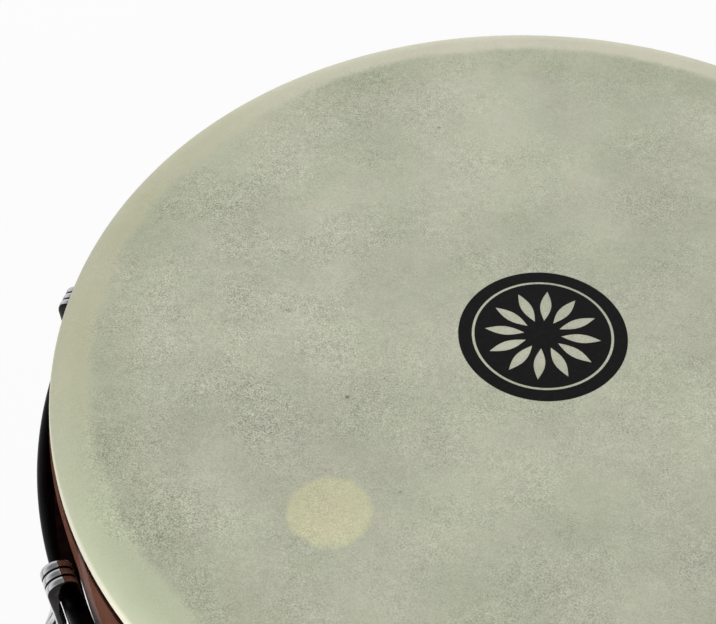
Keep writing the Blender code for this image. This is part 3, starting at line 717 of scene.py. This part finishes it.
def fibre_finish():
    """Pale grey-green fibre mat: soft clouds, a fine grain that gathers in drifts, and a smooth crown."""
    finish, shader = new_finish("fibre_mat", (0.38, 0.39, 0.3), roughness=0.55)
    where = node(finish, "TexCoord").outputs["Object"]
    x, y, z = node(finish, "SeparateXYZ", {0: where}).outputs
    flat = node(finish, "CombineXYZ", {0: x, 1: y, 2: 0.0}).outputs[0]
    out = node(finish, "VectorMath", {0: flat}, operation="LENGTH").outputs["Value"]

    # Clouds, a little lighter and darker, and a little greener and warmer
    hue = noise(finish, where, 35.0, 3.0)
    hue_share = ramp(finish, hue, 0.3, 0.7)
    colour = blend_colours(finish, hue_share, (0.388, 0.407, 0.306), (0.405, 0.408, 0.321))
    cloud = noise(finish, where, 24.0, 6.0, 0.7)
    lightness = ramp(finish, cloud, 0.25, 0.75, 0.87, 1.11)

    # Fibres, as a fine grain that fades out at a ragged edge before the crown, but reaches further out in
    # one short tongue on each side. It is stronger in drifts and towards -X
    drift = noise(finish, where, 45.0, 4.0, 0.6)
    tongue_start = ramp(finish, y, -0.094, -0.085)
    tongue = maths(finish, "MULTIPLY", tongue_start, ramp(finish, y, -0.08, -0.07, 1.0, 0.0))
    reach = maths(finish, "SUBTRACT", out, maths(finish, "MULTIPLY", tongue, 0.006))
    edge = maths(finish, "ADD", reach, maths(finish, "MULTIPLY", cloud, 0.02))
    inside = ramp(finish, edge, HEAD_RADIUS - 0.009, HEAD_RADIUS, 1.0, 0.2)
    strength = maths(finish, "MULTIPLY", ramp(finish, drift, 0.35, 0.68, 0.8, 2.3), inside)
    strength = maths(finish, "MULTIPLY", strength, ramp(finish, x, -0.12, -0.01, 1.13, 0.76))
    tuft_share = 0.35
    average = 0.505 + 0.5 * tuft_share
    fibres = noise(finish, where, 2100.0, 2.0, 0.7)
    tufts = noise(finish, where, 420.0, 3.0, 0.7)
    grain = maths(finish, "ADD", fibres, maths(finish, "MULTIPLY", tufts, tuft_share))
    grain = maths(finish, "SUBTRACT", grain, average)

    # A soft round mark, warmer in its middle, and three pores. The grain is weaker in them
    for centre_x, centre_y, radius, soft, share_at_centre, mark in (
        (-0.0524, -0.072, 0.0114, 0.0024, 0.75, (0.53, 0.525, 0.33)),
        (-0.0514, -0.0732, 0.0065, 0.009, 0.35, (0.55, 0.485, 0.35)),
        (-0.0543, -0.032, 0.0006, 0.0004, 0.75, (0.1, 0.11, 0.09)),
        (-0.0427, 0.088, 0.0006, 0.0004, 0.6, (0.12, 0.13, 0.1)),
        (-0.0341, -0.0627, 0.0004, 0.0004, 0.5, (0.1, 0.11, 0.09)),
    ):
        away = node(finish, "VectorMath", {0: flat, 1: (centre_x, centre_y, 0.0)}, operation="DISTANCE")
        ragged = maths(finish, "MULTIPLY", maths(finish, "SUBTRACT", drift, 0.5), radius * 0.25)
        distance = maths(finish, "ADD", away.outputs["Value"], ragged)
        share = ramp(finish, distance, radius - soft / 2, radius + soft / 2, share_at_centre, 0.0)
        colour = blend_colours(finish, share, colour, mark)
        smoother = maths(finish, "SUBTRACT", 1.0, maths(finish, "MULTIPLY", share, 0.5))
        strength = maths(finish, "MULTIPLY", strength, smoother)

    # The crown, where the mat is stretched smooth and yellower, greener in front, and warmer at the back,
    # where it is also lighter as a painted sheen
    crown_edge = maths(finish, "ADD", out, maths(finish, "MULTIPLY", cloud, 0.007))
    crown = ramp(finish, crown_edge, HEAD_RADIUS - 0.0122, HEAD_RADIUS - 0.0083)
    crown_colour = blend_colours(finish, hue_share, (0.405, 0.41, 0.285), (0.42, 0.415, 0.3))
    greener = ramp(finish, y, -0.08, -0.02, 1.0, 0.0)
    crown_colour = blend_colours(finish, greener, crown_colour, (0.425, 0.455, 0.32))
    # Painted sheen: the crown turns lighter towards the back
    painted_back_sheen = ramp(finish, y, 0.05, 0.14)
    crown_colour = blend_colours(finish, painted_back_sheen, crown_colour, (0.51, 0.5, 0.39))
    colour = blend_colours(finish, crown, colour, crown_colour)
    lightness = blend_values(finish, maths(finish, "MULTIPLY", crown, 0.6), lightness, 1.0)
    lightness = maths(finish, "ADD", lightness, maths(finish, "MULTIPLY", grain, strength))
    colour = blend_colours(finish, 1.0, colour, grey(finish, lightness), "MULTIPLY")

    # A darker ring before the crown, which is painted shade, and the pale cut lip at the crown's end,
    # whose paleness is partly a painted highlight
    # Painted shade: a darker, greener ring just inside the crown
    before_crown = ramp(finish, out, HEAD_RADIUS - 0.033, HEAD_RADIUS - 0.02)
    painted_shade_ring = maths(finish, "MULTIPLY", before_crown, maths(finish, "SUBTRACT", 1.0, crown))
    colour = blend_colours(finish, painted_shade_ring, colour, (0.935, 0.952, 0.905), "MULTIPLY")
    # The lip's pale colour is partly its cut edge and partly a painted highlight
    lip = ramp(finish, out, HEAD_RADIUS - 0.0012, HEAD_RADIUS - 0.0003)
    colour = blend_colours(finish, lip, colour, (0.62, 0.6, 0.47))
    feed(finish, colour, shader, "Base Color")
    bump(finish, shader, fibres, 0.00003)
    return finish


def hoop_mesh():
    """The channel, closed over the film's edge, with rounded corners."""
    low = FLESH_HOOP_END - FLESH_HOOP_HEIGHT
    inner = COLLAR_RADIUS + FIT
    outer = RIM_OUTER - FIT
    corner = 0.001
    near, far = inner + corner, outer - corner
    top, bottom = low + corner, FLESH_HOOP_END - corner
    centres = (near, top), (far, top), (far, bottom), (near, bottom)
    profile = []
    for centre, start in zip(centres, (180, 270, 0, 90)):
        profile += rounded_corner(centre, corner, start, start + 90)
    return turn_in_lathe("flesh_hoop", profile)


def painted_shade_hoop_finish():
    """Aluminium in a very dark red-brown of painted shade, matt, with fine lines left by the rolls."""
    finish, shader = new_finish("aluminium_painted_shade", (0.035, 0.01, 0.008), specular_ior_level=0.1)
    where = node(finish, "TexCoord").outputs["Object"]
    z = node(finish, "SeparateXYZ", {0: where}).outputs[2]
    lines = noise(finish, node(finish, "CombineXYZ", {2: z}).outputs[0], 6000.0)
    shade = ramp(finish, noise(finish, where, 200.0, 4.0), 0.35, 0.7)
    # Painted shade: the hoop takes the very dark red-brown of the deep gap under the rim
    colour = blend_colours(finish, shade, (0.022, 0.006, 0.005), (0.05, 0.016, 0.012))
    feed(finish, colour, shader, "Base Color")
    feed(finish, ramp(finish, lines, 0.3, 0.7, 0.4, 0.6), shader, "Roughness")
    return finish


clear_film = film_finish()
fibre_mat = fibre_finish()
painted_shade_hoop = painted_shade_hoop_finish()
film = fit_piece("head_clear_film", film_mesh(), clear_film, "clear_film", None, "head_film")
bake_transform(film)
fit_piece("head_fibre_mat", fibre_mesh(), fibre_mat, "fibre_layer", "drum_body", "head_fibre_layer")
fit_piece("head_flesh_hoop", hoop_mesh(), painted_shade_hoop, "hoop_aluminium", "tension_ring", "flesh_hoop")


# Printed disc: black ink is screen printed in the middle of the head and lies on the fibres as a thin skin.
# Its plain pattern of a ring and pointed leaves is where no ink was laid, so the head shows.
DISC_RADIUS = 0.0254
INK_TOP = 0.00004  # up from the playing face
INK_BACK = 0.00001


def ink_mesh():
    """The disc as a thin triangulated skin, with the pattern left open."""
    bm = bmesh.new()
    steps = 144
    leaves = 12
    leaf_steps = 8
    inner_ring, outer_ring = 0.0205, 0.0213
    leaf_start, leaf_end, leaf_width = 0.0055, 0.0175, 0.0017

    def circle(radius):
        angles = [2 * math.pi * k / steps for k in range(steps)]
        return [(radius * math.cos(a), radius * math.sin(a), 0.0) for a in angles]

    def band(inner, outer):
        low = [bm.verts.new(point) for point in inner]
        high = [bm.verts.new(point) for point in outer]
        for k in range(steps):
            j = (k + 1) % steps
            bm.faces.new((low[k], high[k], high[j], low[j]))

    band(circle(outer_ring), circle(DISC_RADIUS))
    outlines = [circle(inner_ring)]
    for leaf in range(leaves):
        turn = Matrix.Rotation(2 * math.pi * leaf / leaves, 3, "Z")
        outline = []
        for side in (1, -1):
            for k in range(leaf_steps):
                share = k / leaf_steps if side > 0 else 1 - k / leaf_steps
                along = leaf_start + (leaf_end - leaf_start) * share
                outline.append(turn @ Vector((along, side * leaf_width * math.sin(math.pi * share), 0.0)))
        outlines.append(outline)
    edges = []
    for outline in outlines:
        verts = [bm.verts.new(point) for point in outline]
        edges += [bm.edges.new((verts[k], verts[(k + 1) % len(verts)])) for k in range(len(verts))]
    bmesh.ops.triangle_fill(bm, use_beauty=True, use_dissolve=False, edges=edges)

    # The fill closes the leaves too, so the faces inside a leaf are taken out again
    leaf_faces = []
    for face in bm.faces:
        centre = face.calc_center_median()
        radius = math.hypot(centre.x, centre.y)
        turn = math.atan2(centre.y, centre.x) % (2 * math.pi / leaves)
        turn = min(turn, 2 * math.pi / leaves - turn)
        if leaf_start < radius < leaf_end:
            share = (radius * math.cos(turn) - leaf_start) / (leaf_end - leaf_start)
            if 0 < share < 1 and radius * math.sin(turn) < leaf_width * math.sin(math.pi * share):
                leaf_faces.append(face)
    bmesh.ops.delete(bm, geom=leaf_faces, context="FACES")
    for vert in bm.verts:
        vert.co.z = FACE + INK_TOP
    bmesh.ops.recalc_face_normals(bm, faces=bm.faces)
    skirt = bmesh.ops.extrude_face_region(bm, geom=bm.faces[:])
    for item in skirt["geom"]:
        if isinstance(item, bmesh.types.BMVert):
            item.co.z = FACE + INK_BACK
    return finished_mesh(bm, "printed_disc")


def ink_finish():
    """Matt black ink, uneven where it lies on the fibres."""
    finish, shader = new_finish("black_ink", (0.008, 0.008, 0.008), roughness=0.55, specular_ior_level=0.1)
    where = node(finish, "TexCoord").outputs["Object"]
    weave = noise(finish, where, 1150.0, 2.0, 0.6)
    thick = ramp(finish, weave, 0.25, 0.6)
    colour = blend_colours(finish, thick, (0.0095, 0.0095, 0.0093), (0.0065, 0.0065, 0.0065))
    feed(finish, colour, shader, "Base Color")
    bump(finish, shader, weave, 0.00002)
    return finish


black_ink = ink_finish()
fit_piece("head_printed_disc", ink_mesh(), black_ink, "fibre_layer", "drum_body")


# Rim: a band of steel, rolled into a ring with its upper edge turned over into a bead for the player's
# hands, welded, and powder coated satin black. It sits on the flesh hoop and the hooks pull it down.
RIM_DEPTH = 0.0358  # the bead's top
RIM_END = 0.0518
RIM_CHAMFER = 0.0006


def rim_mesh():
    """The rim's section: a straight band with a half-round bead at its top."""
    bead = RIM_THICKNESS / 2
    middle = RIM_INNER + bead
    profile = [(RIM_OUTER - RIM_CHAMFER, RIM_END), (RIM_OUTER, RIM_END - RIM_CHAMFER)]
    profile += rounded_corner((middle, RIM_DEPTH + bead), bead, 0, -180, 16)
    profile += [(RIM_INNER, RIM_END - RIM_CHAMFER), (RIM_INNER + RIM_CHAMFER, RIM_END)]
    return turn_in_lathe("rim", profile)


def powder_coat_finish():
    """Satin black powder coat with a fine orange peel, a little greyer and duller where it is rubbed."""
    finish, shader = new_finish("satin_black_powder_coat", (0.004, 0.004, 0.004), specular_ior_level=0.16)
    where = node(finish, "TexCoord").outputs["Object"]
    peel = noise(finish, where, 700.0, 2.0)
    rub = noise(finish, where, 40.0, 4.0)
    rubbed = ramp(finish, rub, 0.4, 0.7)
    colour = blend_colours(finish, rubbed, (0.003, 0.003, 0.0031), (0.006, 0.006, 0.006))
    feed(finish, colour, shader, "Base Color")
    feed(finish, ramp(finish, rub, 0.35, 0.75, 0.27, 0.4), shader, "Roughness")
    bump(finish, shader, peel, 0.00004)
    return finish


powder_coat = powder_coat_finish()
fit_piece("rim_band", rim_mesh(), powder_coat, "black_rim", "tension_ring", "rim")


# Tuning hooks: each is one steel rod. Its top is forged into a claw with three ridges and bent over the
# rim, and its lower end has an M8 thread rolled on it. The whole hook is chromed.
ROD_RADIUS = 0.004
CLAW_THICKNESS = 0.003
CLAW_WIDTH = 0.0086
CLAW_CROWN = 0.0079  # how much thicker the claw is at the top of its bend
CLAW_LEG = 0.0065  # down inside the rim, to the claw's tip
TIP_BLUNTING = 0.0009
RIDGES = 3
RIDGE_STEPS = 6
RIDGE_HEIGHT = 0.001
INNER_STEPS = 8  # round the inner half of the section
NECK_DEPTH = 0.0554667  # where the bar has become round
NECK_LENGTH = 0.011
SHANK_STOP = -0.03  # down the rod from the eye, so above it
THREAD_START = 0.004  # down the rod from the eye
THREAD_LEAD = 0.0004  # length of plain rod in which the thread's cut begins
THREAD_PITCH = 0.00125
THREAD_HEIGHT = 0.0006
THREAD_STEPS = 6  # stops in one turn of the thread
NUT_HEIGHT = 0.011
ROD_SPARE = 0.009  # length of thread below the nut
END_TAPER = 0.0009
END_TAPER_LENGTH = 0.0012


def claw_section(width, thickness, ridge):
    """Points (across, off) round the claw: ridges side by side on its outer face, a flat inner face."""
    half = width / 2
    base = thickness / 2 - ridge
    ridge_half = half / RIDGES
    points = [(half, base)]
    for k in range(RIDGES):
        centre = half - (2 * k + 1) * ridge_half
        for step in range(1, RIDGE_STEPS + 1):
            angle = math.pi * step / RIDGE_STEPS
            points.append((centre + ridge_half * math.cos(angle), base + ridge * math.sin(angle)))
    corner = 0.25 * thickness
    points += [(-half, corner - thickness / 2), (corner - half, -thickness / 2)]
    points += [(half * share, -thickness / 2) for share in (-0.4, 0.0, 0.4)]
    points += [(half - corner, -thickness / 2), (half, corner - thickness / 2)]
    return points


def round_section(radius):
    """As many points on a circle, with the ridges' points on its outer half."""
    outer = RIDGE_STEPS * RIDGES
    angles = [math.pi * k / outer for k in range(outer + 1)]
    angles += [math.pi * (1 + k / INNER_STEPS) for k in range(1, INNER_STEPS)]
    return [(radius * math.cos(angle), radius * math.sin(angle)) for angle in angles]


def mixed_section(first, second, share):
    return [(a + (c - a) * share, b + (d - b) * share) for (a, b), (c, d) in zip(first, second)]


def claw_stop(inside, outside, width, ridge):
    """A stop of the hook's bar whose section reaches from one (radius, depth) point to another."""
    across, down = outside[0] - inside[0], outside[1] - inside[1]
    middle = ((inside[0] + outside[0]) / 2, (inside[1] + outside[1]) / 2)
    way = math.atan2(-down, -across)
    return (*middle, way, claw_section(width, math.hypot(across, down), ridge))


def hook_stops():
    """Stops along the bar, each a radius, a depth, the way it runs there and its section."""
    middle = RIM_INNER + RIM_THICKNESS / 2
    inside = RIM_THICKNESS / 2 + FIT
    outside = inside + CLAW_THICKNESS
    seat = RIM_DEPTH + RIM_THICKNESS / 2
    crown = seat - CLAW_CROWN
    tip = seat + CLAW_LEG
    tip_ridge = 0.6 * RIDGE_HEIGHT
    tip_steps, bend_steps, leg_steps, neck_steps = 3, 20, 5, 10

    # The blunted tip, the bend over the rim, and the flat leg down outside it
    stops = []
    for k in range(tip_steps + 1):
        angle = math.pi / 2 * k / tip_steps
        blunt = TIP_BLUNTING * (1 - math.sin(angle))
        depth = tip - TIP_BLUNTING * (1 - math.cos(angle))
        tip_line = (middle - inside - blunt, depth), (middle - outside + blunt, depth)
        stops.append(claw_stop(*tip_line, CLAW_WIDTH - 2 * blunt, tip_ridge))
    for k in range(bend_steps + 1):
        way = math.pi * k / bend_steps
        under = (middle - inside * math.cos(way), seat - inside * math.sin(way))
        over = (middle - outside * math.cos(way), crown - outside * math.sin(way))
        stops.append(claw_stop(under, over, CLAW_WIDTH, RIDGE_HEIGHT))
    leg_end = NECK_DEPTH - NECK_LENGTH
    for k in range(1, leg_steps + 1):
        depth = seat + (leg_end - seat) * k / leg_steps
        leg_line = (middle + inside, depth), (middle + outside, depth)
        stops.append(claw_stop(*leg_line, CLAW_WIDTH, RIDGE_HEIGHT))

    # The neck, where the flat bar leans inwards and becomes the round rod
    start_radius, start_depth = stops[-1][:2]
    end_radius, end_depth = rod_point((NECK_DEPTH - LUG_DEPTH) / math.cos(ROD_TILT))
    flat = claw_section(CLAW_WIDTH, CLAW_THICKNESS, RIDGE_HEIGHT)
    rod = round_section(ROD_RADIUS)
    for k in range(1, neck_steps + 1):
        share = k / neck_steps
        smooth = share * share * (3 - 2 * share)
        radius = start_radius + (end_radius - start_radius) * smooth
        depth = start_depth + (end_depth - start_depth) * share
        stops.append((radius, depth, math.pi - ROD_TILT * share, mixed_section(flat, rod, smooth)))
    return stops


def thread_section(along, share):
    """The rod's section where its thread is cut, at a place along it. Share is how deep the cut is."""
    points = []
    for across, off in round_section(1.0):
        turn = math.atan2(off, across) / (2 * math.pi)
        phase = (along / THREAD_PITCH - turn) % 1.0
        cut = THREAD_HEIGHT * share * (1 - abs(2 * phase - 1))
        points.append(((ROD_RADIUS - cut) * across, (ROD_RADIUS - cut) * off))
    return points


def hook_mesh():
    """One hook from the claw's tip to the end of its thread."""
    rod_end = EYE_TO_NUT + NUT_HEIGHT / 2 + ROD_SPARE
    stops = hook_stops()
    way = math.pi - ROD_TILT
    for along in (SHANK_STOP, THREAD_START - THREAD_LEAD):
        stops.append((*rod_point(along), way, round_section(ROD_RADIUS)))
    count = round((rod_end - THREAD_START) / THREAD_PITCH * THREAD_STEPS)
    for k in range(count + 1):
        along = THREAD_START + (rod_end - THREAD_START) * k / count
        taper = max(0.0, 1 - (rod_end - along) / END_TAPER_LENGTH) * END_TAPER
        shrink = 1 - taper / ROD_RADIUS
        section = []
        for across, off in thread_section(along, min(1.0, k / THREAD_STEPS)):
            section.append((across * shrink, off * shrink))
        stops.append((*rod_point(along), way, section))
    rings = []
    for radius, depth, way, section in stops:
        off_x, off_z = -math.cos(way), math.sin(way)
        ring = []
        for across, off in section:
            ring.append((radius + off * off_x, across, FACE - depth + off * off_z))
        rings.append(ring)
    bm = bmesh.new()
    loft(bm, rings)
    return finished_mesh(bm, "hook", 50)


def hook_finish():
    """Chrome with painted shade, nearly black, at the bottom of the grooves between the claw's ridges."""
    finish = chrome_finish("hook_chrome_painted_groove_shade")
    shader = finish.node_tree.nodes["Principled BSDF"]
    where = node(finish, "TexCoord").outputs["Object"]
    across, up = node(finish, "SeparateXYZ", {0: where}).outputs[1:]
    ridge_width = CLAW_WIDTH / RIDGES
    turn = maths(finish, "DIVIDE", maths(finish, "ADD", across, CLAW_WIDTH / 2), ridge_width)
    from_crest = maths(finish, "ABSOLUTE", maths(finish, "SUBTRACT", maths(finish, "FRACT", turn), 0.5))
    on_claw = ramp(finish, up, FACE - NECK_DEPTH, FACE - NECK_DEPTH + 0.006)
    # Painted shade: a nearly black line at the bottom of each groove on the claw
    groove = maths(finish, "MULTIPLY", ramp(finish, from_crest, 0.31, 0.42), on_claw)
    plated = shader.inputs["Base Color"].links[0].from_socket
    feed(finish, blend_colours(finish, groove, plated, (0.015, 0.013, 0.013)), shader, "Base Color")
    return finish


hook = hook_mesh()
hook_chrome_painted_groove_shade = hook_finish()
for k, azimuth in enumerate(lug_azimuths, start=1):
    name, node_name = f"tuning_hook_{k:02d}", f"hook_{k:02d}"
    fit_piece(name, hook, hook_chrome_painted_groove_shade, "chrome_fittings", "tension_ring", node_name, azimuth=azimuth)


# Nuts and washers: a zinc-plated steel washer lies against the eye of each lug, and a tall chromed hexagon
# nut runs up the thread against it to pull the hook down.
NUT_RADIUS = 0.0075  # to its corners
NUT_SIDES = 6
NUT_BORE = 0.0044
WASHER_RADIUS = 0.008
WASHER_THICKNESS = 0.0015


def bored_mesh(name, lower_stops, sharp_angle=35):
    """A bored piece, alike at both ends. Each stop is a radius, a height and whether it has flats."""
    steps = 96
    half_side = math.pi / NUT_SIDES
    upper_stops = [(radius, -height, flat) for radius, height, flat in reversed(lower_stops)]
    rings = []
    for radius, height, flat in lower_stops + upper_stops:
        ring = []
        for k in range(steps):
            angle = 2 * math.pi * k / steps
            reach = radius
            if flat:
                side = (angle + half_side) % (2 * half_side) - half_side
                reach = min(radius, NUT_RADIUS * math.cos(half_side) / math.cos(side))
            ring.append((reach * math.cos(angle), reach * math.sin(angle), height))
        rings.append(ring)
    bm = bmesh.new()
    loft(bm, rings, capped=False)
    return finished_mesh(bm, name, sharp_angle)


def nut_mesh():
    """The nut, with its corners rounded off at both ends and its bore's mouths softened."""
    half = NUT_HEIGHT / 2
    chamfer, soft = 0.0009, 0.0005
    steps, steepness, roundness = 4, 1.35, 1.3
    stops = [(NUT_BORE, -half + soft, False), (NUT_BORE + soft, -half, False)]
    for k in range(steps + 1):
        share = k / steps
        radius = NUT_RADIUS - steepness * chamfer * (1 - share) ** roundness
        stops.append((radius, -half + chamfer * share, True))
    return bored_mesh("tuning_nut", stops, 25)


def washer_mesh():
    half, soft = WASHER_THICKNESS / 2, 0.0003
    stops = [(NUT_BORE, -half + soft, False), (NUT_BORE + soft, -half, False)]
    stops += [(WASHER_RADIUS - soft, -half, False), (WASHER_RADIUS, -half + soft, False)]
    return bored_mesh("thrust_washer", stops)


tuning_nut = nut_mesh()
thrust_washer = washer_mesh()
for k, (azimuth, joint) in enumerate(zip(lug_azimuths, lug_joints), start=1):
    tilt = Matrix.Rotation(azimuth, 4, "Z") @ Matrix.Rotation(-ROD_TILT, 4, "Y")
    nut_at = Matrix.Translation(joint["pos_m"]) @ tilt
    name, body, node_name = f"hexagon_nut_{k:02d}", f"tuning_nut_{k:02d}", f"nut_{k:02d}"
    fit_piece(name, tuning_nut, polished_chrome, "chrome_fittings", body, node_name, place=nut_at)
    name, node_name = f"steel_washer_{k:02d}", f"washer_{k:02d}"
    low, high = (Vector(corner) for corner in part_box(node_name))
    washer_at = Matrix.Translation((low + high) / 2) @ tilt
    fit_piece(name, thrust_washer, zinc_plate, "zinc_steel", "drum_body", node_name, place=washer_at)


# Studio: the drum stands on a wide pale floor in soft light from a white room, with a large lamp at the
# left, one behind and a low one in front. The camera stands close and looks down on the playing end.
CAMERA_DISTANCE = 0.44955  # from the middle of the playing face
CAMERA_ELEVATION = 0.8603902  # radians, as are the next three
CAMERA_YAW = 0.1248365
CAMERA_PITCH = 0.0016247
CAMERA_ROLL = -0.1082730
FOCAL_LENGTH = 1482.55  # in pixels of the picture
PICTURE_WIDTH = 716
SENSOR_WIDTH = 36  # millimetres
LAMP_AIM = (0, 0, 0.7)


def aim_camera():
    """The camera looks at the middle of the playing face, then turns a little off it and rolls."""
    ahead = Vector((0.0, math.cos(CAMERA_ELEVATION), -math.sin(CAMERA_ELEVATION)))
    right = Vector((1.0, 0.0, 0.0))
    up = right.cross(ahead)
    place = Vector((0.0, 0.0, FACE)) - ahead * CAMERA_DISTANCE
    turn = Matrix.Rotation(CAMERA_YAW, 3, up)
    ahead, right = turn @ ahead, turn @ right
    turn = Matrix.Rotation(CAMERA_PITCH, 3, right)
    ahead, up = turn @ ahead, turn @ up
    turn = Matrix.Rotation(CAMERA_ROLL, 3, ahead)
    right, up = turn @ right, turn @ up
    camera = bpy.data.objects.new("camera", bpy.data.cameras.new("camera"))
    camera.data.lens = FOCAL_LENGTH / PICTURE_WIDTH * SENSOR_WIDTH
    camera.data.clip_start = 0.01
    pose = Matrix((right, up, -ahead)).transposed().to_4x4()
    pose.translation = place
    camera.matrix_world = pose
    bpy.context.scene.collection.objects.link(camera)
    bpy.context.scene.camera = camera


def lamp(name, place, size, power, colour=(1.0, 1.0, 1.0)):
    """A round soft lamp that lights the drum and isn't seen in what shines."""
    light = bpy.data.lights.new(name, "AREA")
    light.shape = "DISK"
    light.size = size
    light.energy = power
    light.color = colour
    holder = bpy.data.objects.new(name, light)
    holder.visible_glossy = False
    direction = Vector(LAMP_AIM) - Vector(place)
    turn = direction.to_track_quat("-Z", "Y").to_matrix().to_4x4()
    holder.matrix_world = Matrix.Translation(place) @ turn
    bpy.context.scene.collection.objects.link(holder)


def white_room():
    """Plain white to the camera, dimmer as a light, and darker overhead in what shines."""
    world = bpy.data.worlds.new("white_room")
    world.use_nodes = True
    path = node(world, "LightPath")
    z = node(world, "SeparateXYZ", {0: node(world, "TexCoord").outputs["Generated"]}).outputs[2]
    overhead = ramp(world, z, 0.15, 0.95, 0.95, 0.25)
    shone = blend_values(world, path.outputs["Is Glossy Ray"], 0.62, overhead)
    strength = blend_values(world, path.outputs["Is Camera Ray"], shone, 0.98)
    background = world.node_tree.nodes["Background"]
    background.inputs["Color"].default_value = (1.0, 1.0, 1.0, 1.0)
    feed(world, strength, background, "Strength")
    bpy.context.scene.world = world


def floor():
    """A wide disc, pale as a light, and to the camera an even white that takes only a faint shadow."""
    pale, dim, glow = (0.82, 0.82, 0.82), (0.12, 0.12, 0.12), 0.807
    bm = bmesh.new()
    bmesh.ops.create_circle(bm, cap_ends=True, radius=12.0, segments=96)
    mesh = bpy.data.meshes.new("floor")
    bm.to_mesh(mesh)
    bm.free()
    piece = bpy.data.objects.new("floor", mesh)
    finish, shader = new_finish("pale_floor", pale, roughness=0.9)
    path = node(finish, "LightPath")
    seen = path.outputs["Is Camera Ray"]
    feed(finish, blend_colours(finish, seen, pale, dim), shader, "Base Color")
    shader.inputs["Emission Color"].default_value = (1.0, 1.0, 1.0, 1.0)
    feed(finish, maths(finish, "MULTIPLY", seen, glow), shader, "Emission Strength")
    mesh.materials.append(finish)
    bpy.context.scene.collection.objects.link(piece)


aim_camera()
white_room()
floor()
lamp("soft_lamp_left", (-1.9, -1.4, 2.4), 1.6, 25.0, (1.0, 0.985, 0.96))
lamp("soft_lamp_back", (-0.3, 2.2, 1.9), 1.4, 40.0)
lamp("low_lamp_front", (0.4, -2.3, 0.9), 0.9, 45.0)
bpy.context.scene.view_settings.view_transform = "Standard"
